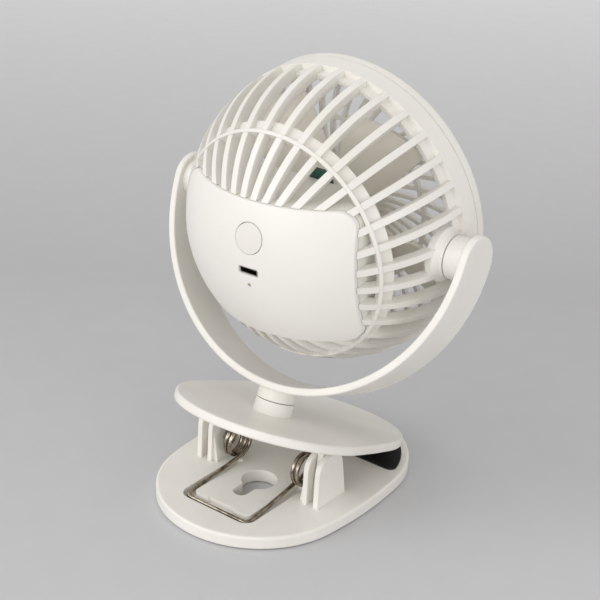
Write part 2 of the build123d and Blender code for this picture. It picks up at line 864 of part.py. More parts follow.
def panel_face(inset=0.0):
    """Outline of the rear panel: four bowed sides and round corners, moved inwards by the inset."""
    half_width = panel_width / 2 - inset
    half_height = panel_height / 2 - inset
    corner_x = half_width - panel_side_bow
    top = panel_shift + half_height - panel_end_bow
    bottom = panel_shift - half_height + panel_end_bow
    with BuildSketch() as face:
        with BuildLine():
            ThreePointArc((corner_x, bottom), (half_width, panel_shift), (corner_x, top))
            ThreePointArc((corner_x, top), (0, panel_shift + half_height), (-corner_x, top))
            ThreePointArc((-corner_x, top), (-half_width, panel_shift), (-corner_x, bottom))
            ThreePointArc((-corner_x, bottom), (0, panel_shift - half_height), (corner_x, bottom))
        make_face()
        fillet(face.vertices(), panel_corner - inset)
    return face.sketch


def make_rear_housing():
    shell_radius = recess_radius - shell_thickness
    hoop_middle = ball_angle(hoop_back + hoop_width / 2)
    equator = ball_angle(ring_back + ring_wall / 6)
    rib = ball_band(rib_inner_radius, cage_radius, asin(rib_tail_radius / cage_radius), equator)
    hoop_radius = cage_radius + hoop_proud
    hoop = ball_band(shell_radius, hoop_radius, ball_angle(hoop_back), ball_angle(hoop_back + hoop_width))
    web = ball_band(shell_radius, recess_radius, hoop_middle, ball_angle(web_front))
    rim_band = ball_band(shell_radius, recess_radius, ball_angle(rim_band_back), equator)
    rib_planes = [around_head(360 / rib_count * (k + 0.5)) for k in range(rib_count)]
    seat_ball = ball(panel_seat_radius)
    outline = panel_face()
    opening = panel_face(-panel_gap)
    cavity = panel_face(panel_wall)
    with BuildPart() as compartment:
        with BuildSketch(head.offset(panel_floor_front)):
            add(outline)
        extrude(amount=-cage_radius)
        add(seat_ball, mode=Mode.INTERSECT)
    with BuildPart() as panel_bed:
        with BuildSketch(head.offset(panel_floor_front)):
            add(opening)
        extrude(amount=-2 * cage_radius)
        add(seat_ball, mode=Mode.SUBTRACT)
    with BuildPart() as rear_housing:
        with BuildSketch(*rib_planes):
            add(rib)
        extrude(amount=rib_thickness / 2, both=True)
        with BuildSketch(head_section):
            add(hoop)
            add(web)
            add(rim_band)
            with Locations((ring_radius - ring_wall / 2, (ring_back + ring_front) / 2)):
                Rectangle(ring_wall, ring_front - ring_back)
        revolve(axis=head_axis)
        add(compartment.part)
        add(panel_bed.part, mode=Mode.SUBTRACT)
        for side in (1, -1):
            with BuildSketch(head_section):
                with BuildLine():
                    Polyline(
                        (side * collar_inner_x, 0),
                        (side * collar_inner_x, collar_radius),
                        (side * collar_shoulder_x, collar_radius),
                        (side * collar_neck_x, collar_neck_radius),
                        (side * collar_end_x, collar_neck_radius),
                        (side * collar_end_x, 0),
                        close=True,
                    )
                make_face()
            revolve(axis=Axis(pivot_point, (1, 0, 0)))
            with BuildSketch(pivot_plane(side, collar_inner_x)):
                Circle(pivot_washer_radius + pivot_gap)
            extrude(amount=-rib_depth, mode=Mode.SUBTRACT)
        with BuildSketch(head.offset(panel_floor_back)):
            add(cavity)
        extrude(amount=-cage_radius, mode=Mode.SUBTRACT)
        with BuildSketch(head.offset(panel_floor_back)):
            with Locations((0, board_post_up)):
                with GridLocations(2 * board_half_width - 4 * board_post_radius, 1, 2, 1):
                    Circle(board_post_radius)
        extrude(amount=board_front - panel_floor_back)
        for saddle_x in (cell_length / 3, -cell_length / 3):
            saddle = Plane(origin=cell_centre + Vector(saddle_x, 0, 0), x_dir=upward, z_dir=(1, 0, 0))
            with BuildSketch(saddle):
                with Locations((0, cell_radius + cell_gap)):
                    Rectangle(2 * cell_radius, cell_radius, align=(Align.CENTER, Align.MAX))
                Circle(cell_radius, mode=Mode.SUBTRACT)
            extrude(amount=saddle_thickness / 2, both=True)
        with BuildSketch(pivot_plane(1, -cage_radius)):
            Circle(pivot_stem_radius + running_fit)
        extrude(amount=2 * cage_radius, mode=Mode.SUBTRACT)
        with BuildSketch(head.offset(panel_floor_front)):
            with GridLocations(standoff_spacing, 1, 2, 1):
                Circle(standoff_radius)
        extrude(amount=motor_seat - panel_floor_front)
        with BuildSketch(head.offset(motor_seat)):
            with GridLocations(standoff_spacing, 1, 2, 1):
                Circle(screw_radius)
        extrude(amount=-screw_length / 2, mode=Mode.SUBTRACT)
    finish(rear_housing, "rear_housing")


def port_face(clearance):
    """Rounded mouth of the charging port, wider by the clearance all round."""
    with BuildSketch() as face:
        with Locations((fittings_x, port_up)):
            RectangleRounded(
                port_width + 2 * clearance, port_height + 2 * clearance, port_height / 4 + clearance
            )
    return face.sketch


def make_rear_panel():
    port = port_face(port_gap)
    outer_ball = ball(panel_outer_radius)
    inner_ball = ball(panel_seat_radius)
    outline = panel_face()
    with BuildPart() as rear_panel:
        with BuildSketch(head.offset(panel_floor_back)):
            add(outline)
        extrude(amount=-cage_radius)
        add(outer_ball, mode=Mode.INTERSECT)
        fillet(rear_panel.faces().sort_by(Axis((0, 0, 0), forward))[0].edges(), panel_edge_fillet)
        add(inner_ball, mode=Mode.SUBTRACT)
        with BuildSketch(head.offset(panel_floor_back)):
            with Locations((fittings_x, button_up)):
                Circle(button_radius + button_gap)
            add(port)
            with Locations((fittings_x, lamp_up)):
                Circle(lamp_radius)
        extrude(amount=-cage_radius, mode=Mode.SUBTRACT)
    finish(rear_panel, "rear_panel")


def button_flange_face():
    """Where the button's flange starts: just inside the panel at the flange's outer edge."""
    reach = hypot(fittings_x, button_up) + button_radius + button_flange
    return ball_forward - sqrt(panel_seat_radius**2 - reach**2) + button_travel / 2


def make_power_button():
    face_ball = ball(panel_outer_radius + button_proud)
    flange_back = button_flange_face()
    flange_front = flange_back + button_flange_thickness
    with BuildPart() as power_button:
        with BuildSketch(head.offset(flange_front)):
            with Locations((fittings_x, button_up)):
                Circle(button_radius)
        extrude(amount=-cage_radius / 4)
        add(face_ball, mode=Mode.INTERSECT)
        with BuildSketch(head.offset(flange_front)):
            with Locations((fittings_x, button_up)):
                Circle(button_radius + button_flange)
        extrude(amount=-button_flange_thickness)
    finish(power_button, "power_button")


def make_usb_socket():
    mouth = port_face(0)
    bore = port_face(-port_wall)
    mouth_back = ball_forward - sqrt(panel_outer_radius**2 - port_up**2 - fittings_x**2) + port_recess
    with BuildPart() as usb_socket:
        with BuildSketch(head.offset(mouth_back)):
            add(mouth)
        extrude(amount=port_depth)
        with BuildSketch(head.offset(mouth_back)):
            add(bore)
        extrude(amount=port_depth - port_wall, mode=Mode.SUBTRACT)
    finish(usb_socket, "usb_socket")
    with BuildPart() as usb_tongue:
        with BuildSketch(head.offset(mouth_back + port_depth - port_wall)):
            with Locations((fittings_x, port_up + port_height / 8)):
                Rectangle(port_width / 2, port_height / 4)
        extrude(amount=-(port_depth - port_wall) * 0.8)
    finish(usb_tongue, "usb_tongue")
    with BuildPart() as usb_holder:
        with BuildSketch(head.offset(mouth_back + port_depth)):
            with Locations((fittings_x, port_up)):
                Rectangle(port_width + 2, port_height + 2)
        extrude(amount=board_back - mouth_back - port_depth)
    finish(usb_holder, "usb_holder")


def make_lamp_lens():
    face_ball = ball(panel_outer_radius - port_recess / 2)
    with BuildPart() as lamp_lens:
        with BuildSketch(head.offset(board_back)):
            with Locations((fittings_x, lamp_up)):
                Circle(lamp_radius)
        extrude(amount=-cage_radius / 3)
        add(face_ball, mode=Mode.INTERSECT)
    finish(lamp_lens, "lamp_lens")


def make_control_board():
    with BuildPart() as control_board:
        with BuildSketch(head.offset(board_back)):
            with Locations((0, (board_top + board_bottom) / 2)):
                RectangleRounded(2 * board_half_width, board_top - board_bottom, board_thickness)
        extrude(amount=board_thickness)
    finish(control_board, "control_board")
    stem_length = board_back - switch_height - (button_flange_face() + button_flange_thickness)
    with BuildPart() as power_switch:
        with BuildSketch(head.offset(board_back)):
            with Locations((fittings_x, button_up)):
                Rectangle(switch_size, switch_size)
        extrude(amount=-switch_height)
        with BuildSketch(head.offset(board_back)):
            with Locations((fittings_x, button_up)):
                Circle(switch_stem_radius)
        extrude(amount=-switch_height - stem_length + button_travel + end_play)
    finish(power_switch, "power_switch")


def make_battery_cell():
    with BuildPart() as battery_cell:
        with BuildSketch(Plane(
            origin=cell_centre - Vector(cell_length / 2, 0, 0), x_dir=upward, z_dir=(1, 0, 0)
        )):
            Circle(cell_radius)
        extrude(amount=cell_length)
        chamfer(battery_cell.edges(), cell_gap)
    finish(battery_cell, "battery_cell")


def make_driver_board():
    with BuildPart() as driver_board:
        with BuildSketch(head.offset(panel_floor_front)):
            RectangleRounded(driver_width, driver_height, board_thickness)
            with Locations((driver_tab_x, 0)):
                Rectangle(driver_tab_width, driver_tab_top, align=(Align.CENTER, Align.MIN))
            with GridLocations(standoff_spacing, 1, 2, 1):
                Circle(standoff_radius + board_hole_gap, mode=Mode.SUBTRACT)
        extrude(amount=board_thickness)
    finish(driver_board, "driver_board")


def make_motor():
    with BuildPart() as motor_can:
        with BuildSketch(head.offset(motor_seat)):
            Circle(motor_flange_radius)
            with GridLocations(standoff_spacing, 1, 2, 1):
                Circle(screw_radius, mode=Mode.SUBTRACT)
        extrude(amount=motor_flange_thickness)
        with BuildSketch(head.offset(motor_back)):
            Circle(motor_radius)
        extrude(amount=motor_length)
        with BuildSketch(head.offset(motor_front)):
            Circle(motor_boss_radius)
        extrude(amount=motor_boss_length)
        with BuildSketch(head.offset(motor_back)):
            Circle(shaft_radius + running_fit / 2)
        extrude(amount=motor_length + motor_boss_length, mode=Mode.SUBTRACT)
    finish(motor_can, "motor_can")
    shapes = []
    for side in (1, -1):
        seat = Plane(
            origin=pivot_point + Vector(side * standoff_spacing / 2, 0, 0) + forward * motor_back,
            x_dir=(1, 0, 0),
            z_dir=forward,
        )
        shapes.append(screw_profile(
            seat, motor_screw_head_radius, motor_screw_head_height, motor_flange_thickness + screw_length / 2
        ))
    with BuildPart() as motor_screws:
        add(shapes)
    finish(motor_screws, "motor_screws")
    with BuildPart() as motor_shaft:
        with BuildSketch(head.offset(motor_back + end_play)):
            Circle(shaft_radius)
        extrude(amount=hub_front - hub_dome - motor_back - end_play)
    finish(motor_shaft, "motor_shaft")


def dome_height(radius, rise, x):
    """Height at x of a shallow dome of that radius and rise whose ball centre is on its axis."""
    ball_radius = (radius**2 + rise**2) / (2 * rise)
    return sqrt(ball_radius**2 - x**2) - (ball_radius - rise)


def blade_section(radius, pitch, chord, lead):
    """Slanted strip on the plane across the blade at that radius, moved round by the lead."""
    across = Vector(0, 1, 0)
    plane = Plane(origin=(radius, lead, (hub_back + hub_front) / 2), x_dir=across, z_dir=(1, 0, 0))
    with BuildSketch(plane) as section:
        Rectangle(chord, blade_thickness, rotation=pitch)
    return section.sketch


def make_impeller():
    """Hub with a domed front and broad blades, twisted and with rounded tips."""
    root = hub_radius - hub_wall / 2
    middle = (root + blade_tip_radius) / 2
    middle_pitch = (blade_root_pitch + blade_tip_pitch) / 2
    middle_chord = (blade_root_chord + blade_tip_chord) / 2
    beyond = blade_tip_radius + blade_corner / 2
    sections = [
        blade_section(root, blade_root_pitch, blade_root_chord * strip_chord_ratio, 0),
        blade_section(middle, middle_pitch, middle_chord * strip_chord_ratio, 0),
        blade_section(beyond, blade_tip_pitch, blade_tip_chord * strip_chord_ratio, 0),
    ]
    with BuildPart() as blade:
        loft(sections=sections)
        with BuildSketch(Plane.XY.offset((hub_back + hub_front - blade_depth) / 2)) as petal:
            with BuildLine():
                half_root = degrees(asin(blade_root_chord / 2 * cos(radians(blade_root_pitch)) / root))
                swing = blade_sweep / 2
                inner_a = PolarLine((0, 0), root * 0.9, -half_root, mode=Mode.PRIVATE) @ 1
                inner_b = PolarLine((0, 0), root * 0.9, half_root, mode=Mode.PRIVATE) @ 1
                outer_a = PolarLine((0, 0), blade_tip_radius, -swing * 0.75, mode=Mode.PRIVATE) @ 1
                outer_b = PolarLine((0, 0), blade_tip_radius, swing, mode=Mode.PRIVATE) @ 1
                Line(inner_b, inner_a)
                SagittaArc(inner_a, outer_a, blade_corner / 2)
                ThreePointArc(outer_a, (blade_tip_radius, 0), outer_b)
                SagittaArc(outer_b, inner_b, -blade_corner / 2)
            make_face()
            fillet(petal.vertices().sort_by(Axis.X)[-2:], blade_corner)
        extrude(amount=blade_depth, mode=Mode.INTERSECT)
    head_place = head.location
    half_radius = hub_radius / 2
    with BuildPart() as impeller:
        with BuildSketch(head_section):
            with BuildLine():
                Polyline(
                    (shaft_radius, hub_back),
                    (hub_radius / 3, hub_back),
                    (hub_radius / 3, hub_front - hub_dome - hub_wall),
                    (hub_radius - hub_wall, hub_front - hub_dome - hub_wall),
                    (hub_radius - hub_wall, hub_back),
                    (hub_radius, hub_back),
                    (hub_radius, hub_front - hub_dome),
                )
                dome = ThreePointArc(
                    (hub_radius, hub_front - hub_dome),
                    (half_radius, hub_front - hub_dome + dome_height(hub_radius, hub_dome, half_radius)),
                    (0, hub_front),
                )
                Polyline(
                    dome @ 1,
                    (0, hub_front - hub_dome),
                    (shaft_radius, hub_front - hub_dome),
                    (shaft_radius, hub_back),
                )
            make_face()
        revolve(axis=head_axis)
        for k in range(blade_count):
            turned = blade.part.rotate(Axis.Z, blade_phase + 360 / blade_count * k)
            add(turned.moved(head_place))
    finish(impeller, "impeller")


def make_front_grille():
    """Bezel with its spigot, curved bars, a middle ring and a plain domed cap."""
    spigot_outer = ring_radius - ring_wall - spigot_gap
    bar_planes = [across_head(grille_face - grille_thickness, 360 / bar_count * k) for k in range(bar_count)]
    with BuildPart() as front_grille:
        with BuildSketch(head_section):
            with BuildLine():
                Polyline(
                    (bezel_inner_radius, bezel_front - bezel_round),
                    (bezel_inner_radius, seam_front),
                    (spigot_outer - spigot_wall, seam_front - spigot_depth),
                    (spigot_outer, seam_front - spigot_depth),
                    (spigot_outer, seam_front),
                    (ring_radius, seam_front),
                    (ring_radius, bezel_front - bezel_round),
                )
                ThreePointArc(
                    (ring_radius, bezel_front - bezel_round),
                    ((ring_radius + bezel_inner_radius) / 2, bezel_front),
                    (bezel_inner_radius, bezel_front - bezel_round),
                )
            make_face()
        revolve(axis=head_axis)
        with BuildSketch(*bar_planes):
            with BuildLine():
                inner = PolarLine((0, 0), cap_radius - bar_width, 0, mode=Mode.PRIVATE) @ 1
                outer = PolarLine((0, 0), bezel_inner_radius + bar_width, bar_swirl, mode=Mode.PRIVATE) @ 1
                SagittaArc(inner, outer, -bar_swirl / 6)
            trace(line_width=bar_width)
        extrude(amount=grille_thickness)
        with BuildSketch(head.offset(grille_face - grille_thickness)):
            Circle(mid_ring_radius + mid_ring_width / 2)
            Circle(mid_ring_radius - mid_ring_width / 2, mode=Mode.SUBTRACT)
        extrude(amount=grille_thickness)
        with BuildSketch(head_section):
            with BuildLine():
                rim = grille_face
                back = rim - grille_thickness
                Polyline((0, back), (cap_radius, back), (cap_radius, rim))
                half = cap_radius / 2
                half_height = rim + dome_height(cap_radius, cap_dome, half)
                ThreePointArc((cap_radius, rim), (half, half_height), (0, rim + cap_dome))
                Line((0, rim + cap_dome), (0, back))
            make_face()
        revolve(axis=head_axis)
    finish(front_grille, "front_grille")


def main():
    os.makedirs("parts", exist_ok=True)
    make_base_plate()
    make_base_grip_pad()
    make_rubber_feet()
    make_hinge_pin(1, "hinge_pin_left")
    make_hinge_pin(-1, "hinge_pin_right")
    make_clip_spring()
    make_upper_jaw()
    make_upper_grip_pad()
    make_yoke()
    make_swivel_washer()
    make_swivel_screw()
    make_pivot_washers()
    make_pivot_screws()
    make_rear_housing()
    make_rear_panel()
    make_power_button()
    make_usb_socket()
    make_lamp_lens()
    make_control_board()
    make_battery_cell()
    make_driver_board()
    make_motor()
    make_impeller()
    make_front_grille()


main()
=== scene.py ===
import json
from math import cos, pi, radians, sin

import bmesh
import bpy
import numpy as np
from mathutils import Matrix, Vector


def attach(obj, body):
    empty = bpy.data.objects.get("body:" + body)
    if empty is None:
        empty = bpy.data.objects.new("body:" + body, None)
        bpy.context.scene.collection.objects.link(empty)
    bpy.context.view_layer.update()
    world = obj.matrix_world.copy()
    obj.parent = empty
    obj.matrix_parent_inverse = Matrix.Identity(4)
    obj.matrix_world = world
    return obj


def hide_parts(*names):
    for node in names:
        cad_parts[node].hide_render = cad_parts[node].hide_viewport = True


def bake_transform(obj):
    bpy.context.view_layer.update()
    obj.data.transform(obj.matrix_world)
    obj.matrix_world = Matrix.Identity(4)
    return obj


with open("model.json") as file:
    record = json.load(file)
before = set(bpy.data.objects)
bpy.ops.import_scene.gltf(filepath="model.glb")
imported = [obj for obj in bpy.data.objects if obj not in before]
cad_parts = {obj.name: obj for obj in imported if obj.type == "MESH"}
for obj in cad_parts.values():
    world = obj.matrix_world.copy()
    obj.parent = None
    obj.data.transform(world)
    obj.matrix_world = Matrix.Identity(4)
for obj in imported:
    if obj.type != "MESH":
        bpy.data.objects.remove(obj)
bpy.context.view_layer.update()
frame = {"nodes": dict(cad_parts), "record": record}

NODES = frame["nodes"]
# Lengths are metres; a grain, a depth, a pattern's size and the spring's numbers are millimetres.
MM = 0.001
FLOOR_REACH = 6.0
PAPER_FIBRE = 16.667


# ---------------------------------------------------------------- colour and nodes
def linear(code):
    """sRGB hex code to linear RGBA: each channel through the sRGB curve."""
    channels = [int(code[k:k + 2], 16) / 255 for k in (1, 3, 5)]
    return [c / 12.92 if c <= 0.04045 else ((c + 0.055) / 1.055) ** 2.4 for c in channels] + [1.0]


def put(tree, kind, links=None, values=None, **settings):
    """Adds one node: settings are its own properties, values its sockets, links what feeds them."""
    node = tree.nodes.new(kind)
    for key, value in settings.items():
        setattr(node, key, value)
    for key, value in (values or {}).items():
        node.inputs[key].default_value = value
    for key, source in (links or {}).items():
        tree.links.new(source, node.inputs[key])
    return node


def new_material(name):
    """An empty node material with its output, and the Object coordinates that every pattern reads."""
    material = bpy.data.materials.new(name)
    material.use_nodes = True
    tree = material.node_tree
    tree.nodes.clear()
    output = tree.nodes.new("ShaderNodeOutputMaterial")
    place = tree.nodes.new("ShaderNodeTexCoord").outputs["Object"]
    return material, tree, output, place


def dress(names, material):
    """Gives CAD nodes their finish."""
    for name in names:
        mesh = NODES[name].data
        mesh.materials.clear()
        mesh.materials.append(material)


# ---------------------------------------------------------------- materials
def noise(tree, place, grain, **values):
    """Smooth noise whose clouds are about this many millimetres across."""
    node = put(tree, "ShaderNodeTexNoise", {"Vector": place}, {"Scale": 1 / (grain * MM), **values})
    return node.outputs["Fac"]


def stretched_noise(tree, place, grains, detail):
    """Smooth noise with its own cloud size, in millimetres, along each axis."""
    scale = [1 / (grain * MM) for grain in grains]
    stretch = put(tree, "ShaderNodeMapping", {"Vector": place}, {"Scale": scale})
    node = put(tree, "ShaderNodeTexNoise", {"Vector": stretch.outputs["Vector"]},
               {"Scale": 1.0, "Detail": detail})
    return node.outputs["Fac"]


def two_tone(tree, factor, low, high, low_place=0.0, high_place=1.0):
    """Colour that runs from low to high between two places on the factor."""
    ramp = put(tree, "ShaderNodeValToRGB", {"Fac": factor})
    for stop, colour, position in zip(ramp.color_ramp.elements, (low, high), (low_place, high_place)):
        stop.position = position
        stop.color = linear(colour)
    return ramp.outputs["Color"]


def spread(tree, factor, lowest, highest, from_min=0.0, from_max=1.0):
    """A factor that runs between two values, mapped to run from lowest to highest."""
    node = put(tree, "ShaderNodeMapRange", {"Value": factor},
               {"From Min": from_min, "From Max": from_max, "To Min": lowest, "To Max": highest})
    return node.outputs["Result"]


def relief(tree, height, strength, depth, under=None):
    """Bump of this depth in millimetres, over another normal where one is given."""
    links = {"Height": height} if under is None else {"Height": height, "Normal": under}
    bump = put(tree, "ShaderNodeBump", links, {"Strength": strength, "Distance": depth * MM})
    return bump.outputs["Normal"]


def surface(tree, output, links, values):
    """Principled surface with these links and constants, joined to the material's output."""
    shader = put(tree, "ShaderNodeBsdfPrincipled", links, values)
    tree.links.new(shader.outputs["BSDF"], output.inputs["Surface"])


def moulded_abs(name, light, shade, roughness, grain=0.6, depth=0.02, edge_round=0.35):
    """ABS injection-moulded in a spark-eroded tool: a warm off-white skin with a satin sheen.
    The eye gets a soft broad highlight, a hardly visible cloud in the tone and a fine grain."""
    material, tree, output, place = new_material(name)
    tone = two_tone(tree, noise(tree, place, 38, Detail=3.0, Roughness=0.55), shade, light, 0.34, 0.62)
    flow = noise(tree, place, 9, Detail=2.0, Distortion=0.6)
    sheen = spread(tree, flow, roughness - 0.05, roughness + 0.05, from_min=0.3, from_max=0.7)
    # The real grain is about 0.1 mm; it is drawn coarser so that it shows at this size.
    skin = noise(tree, place, grain, Detail=4.0, Roughness=0.6)
    # A mould leaves its edges rounded by a few tenths of a millimetre.
    edge = put(tree, "ShaderNodeBevel", None, {"Radius": edge_round * MM}, samples=6)
    normal = relief(tree, skin, 0.35, depth, edge.outputs["Normal"])
    surface(tree, output, {"Base Color": tone, "Roughness": sheen, "Normal": normal},
            {"IOR": 1.53, "Subsurface Weight": 0.08, "Subsurface Scale": 1.0,
             "Subsurface Radius": (1.6 * MM, 1.3 * MM, 1.0 * MM)})
    return material


def silicone_rubber(name, colour):
    """Compression-moulded silicone rubber: nearly black, dull, with a dusty bloom in patches."""
    material, tree, output, place = new_material(name)
    dust = noise(tree, place, 6, Detail=6.0, Roughness=0.7)
    tone = two_tone(tree, dust, colour, "#1E1D1C", 0.42, 0.8)
    normal = relief(tree, noise(tree, place, 0.5, Detail=3.0), 0.4, 0.04)
    surface(tree, output, {"Base Color": tone, "Normal": normal}, {"Roughness": 0.72, "IOR": 1.42})
    return material


def drawn_steel(name, light, dark, roughness, streak=(0.25, 0.25, 3.0)):
    """Cold-drawn or turned steel: metal grey with fine tool lines and darker oily patches."""
    material, tree, output, place = new_material(name)
    lines = stretched_noise(tree, place, streak, 3.0)
    oil = noise(tree, place, 3.5, Detail=4.0, Roughness=0.6)
    tone = two_tone(tree, oil, dark, light, 0.35, 0.65)
    gloss = spread(tree, lines, roughness - 0.06, roughness + 0.1, from_min=0.3, from_max=0.7)
    normal = relief(tree, lines, 0.25, 0.01)
    surface(tree, output, {"Base Color": tone, "Roughness": gloss, "Normal": normal}, {"Metallic": 1.0})
    return material


def varnished_board(name, mask, copper):
    """Glass-epoxy board under green solder mask: copper tracks show as a lighter green lattice."""
    material, tree, output, place = new_material(name)
    tracks = put(tree, "ShaderNodeTexBrick", {"Vector": place},
                 {"Color1": linear(mask), "Color2": linear(mask), "Mortar": linear(copper), "Scale": 1.0,
                  "Mortar Size": 0.25 * MM, "Brick Width": 4.2 * MM, "Row Height": 1.9 * MM})
    gloss = spread(tree, noise(tree, place, 0.8, Detail=2.0), 0.2, 0.38)
    normal = relief(tree, tracks.outputs["Fac"], 0.5, 0.04)
    surface(tree, output, {"Base Color": tracks.outputs["Color"], "Roughness": gloss, "Normal": normal},
            {"IOR": 1.5})
    return material


def shrink_sleeve(name, colour, shade):
    """PVC heat-shrink film on the cell: strong colour, glossy, slightly wrinkled along the cell, with painted
    shade darkening the hollows of the wrinkles.
    """
    material, tree, output, place = new_material(name)
    folds_with_painted_shade = stretched_noise(tree, place, (22, 2.5, 2.5), 3.0)
    normal = relief(tree, folds_with_painted_shade, 0.5, 0.1)
    # Painted shade: the folds that raise the bump also darken the colour in their hollows.
    surface(tree, output, {"Base Color": two_tone(tree, folds_with_painted_shade, shade, colour), "Normal": normal},
            {"Roughness": 0.22, "IOR": 1.54})
    return material


shell_white = moulded_abs("abs_moulded_warm_white", "#EEEBE5", "#E7E4DC", 0.36)
panel_white = moulded_abs("abs_moulded_polished_white", "#EEEBE5", "#EBE8E2", 0.34,
                          grain=0.8, depth=0.003, edge_round=0.7)
button_white = moulded_abs("abs_moulded_button_white", "#EBE8E2", "#E4E1DA", 0.34)
blade_white = moulded_abs("polypropylene_moulded_white", "#F5F0E6", "#EFEADF", 0.45)
pad_black = silicone_rubber("silicone_rubber_black", "#0B0B0A")
spring_steel = drawn_steel("music_wire_oiled", "#C2B8A8", "#756A5E", 0.2)
pin_steel = drawn_steel("turned_steel", "#B9B6B0", "#8E8A84", 0.28)
zinc_steel = drawn_steel("zinc_plated_steel", "#CFCFCB", "#A9A8A2", 0.25, streak=(0.6, 0.6, 0.6))
port_steel = drawn_steel("nickel_plated_sheet_steel", "#C9C7C0", "#99958D", 0.22, streak=(0.3, 2.0, 0.3))
port_black = silicone_rubber("nylon_moulded_black", "#0B0B0B")
board_green = varnished_board("glass_epoxy_board_green", "#0F3B30", "#1D5442")
cell_blue = shrink_sleeve("pvc_shrink_film_blue", "#2C6E93", "#1E5473")
epoxy_black = silicone_rubber("moulded_epoxy_black", "#141414")
ceramic_tan = moulded_abs("fired_ceramic_tan", "#B79A6B", "#9C7F53", 0.4)
nylon_cream = moulded_abs("nylon_moulded_cream", "#EDE6D2", "#E2D9C2", 0.4)
lamp_clear = moulded_abs("acrylic_light_pipe", "#B8A98F", "#9A8B70", 0.2)

dress(["base_plate", "upper_jaw", "yoke", "rear_housing", "front_grille"], shell_white)
dress(["rear_panel"], panel_white)
dress(["power_button"], button_white)
dress(["impeller"], blade_white)
dress(["base_grip_pad", "upper_grip_pad", "rubber_feet"], pad_black)
dress(["clip_spring"], spring_steel)
dress(["hinge_pin_left", "hinge_pin_right", "motor_shaft"], pin_steel)
dress(["swivel_washer", "swivel_screw", "pivot_washers", "pivot_screws"], zinc_steel)
dress(["motor_can", "motor_screws"], zinc_steel)
dress(["usb_socket"], port_steel)
dress(["usb_tongue", "usb_holder", "power_switch"], port_black)
dress(["control_board", "driver_board"], board_green)
dress(["battery_cell"], cell_blue)
dress(["lamp_lens"], lamp_clear)

# ---------------------------------------------------------------- small pieces on the CAD parts
JOINTS = {joint["name"]: joint for joint in frame["record"]["behaviour"]["joints"]}
PIVOT = np.array(JOINTS["head_tilt"]["pos_m"])
FORWARD = np.array(JOINTS["fan_spin"]["axis"])
ACROSS = np.array([1.0, 0.0, 0.0])
UPWARD = np.cross(FORWARD, ACROSS)
SWIVEL = np.array(JOINTS["yoke_swivel"]["axis"])
SHARP_ANGLE = radians(38)
# A pan head's shape, in parts of its height: the rounding of its rim, the rise of its dome, the recess.
RIM_ROUND, DOME_RISE, RECESS_DEPTH = 0.15, 0.28, 0.5
# The cross recess, in parts of the head's radius: half a bar's width, half its length, its soft edge.
BAR_HALF, BAR_REACH, BAR_SOFT = 0.15, 0.58, 0.1
# The thread's end, in parts of the shank's radius: length of its chamfer and radius of its flat.
END_CHAMFER, END_FLAT = 0.5, 0.6
CASE_HEAD, MOTOR_HEAD = 1.7 * MM, 1.5 * MM


def closed_skins(name, skins, material, body=None):
    """One mesh of closed skins, on a body unless it bends between two. A skin is an array of rings
    of points, whose first and last ring are poles."""
    points, faces = [], []
    first = 0
    for rings in skins:
        count, around, _ = rings.shape
        k = np.arange(around)
        after = (k + 1) % around
        start = first + 1 + np.arange(count - 2)[:, None] * around
        last_ring = start[-1, 0]
        pole = last_ring + around
        points.append(np.concatenate([rings[0, :1], rings[1:-1].reshape(-1, 3), rings[-1, :1]]))
        quads = np.stack([start[:-1] + k, start[:-1] + after, start[1:] + after, start[1:] + k], -1)
        faces += quads.reshape(-1, 4).tolist()
        faces += np.stack([np.full(around, first), first + 1 + after, first + 1 + k], -1).tolist()
        faces += np.stack([np.full(around, pole), last_ring + k, last_ring + after], -1).tolist()
        first = pole + 1
    mesh = bpy.data.meshes.new(name)
    mesh.from_pydata(np.concatenate(points).tolist(), [], faces)
    shell = bmesh.new()
    shell.from_mesh(mesh)
    bmesh.ops.recalc_face_normals(shell, faces=shell.faces[:])
    shell.to_mesh(mesh)
    shell.free()
    mesh.shade_smooth()
    mesh.set_sharp_from_angle(angle=SHARP_ANGLE)
    mesh.materials.append(material)
    piece = bpy.data.objects.new(name, mesh)
    bpy.context.scene.collection.objects.link(piece)
    if body:
        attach(piece, body)
    return piece


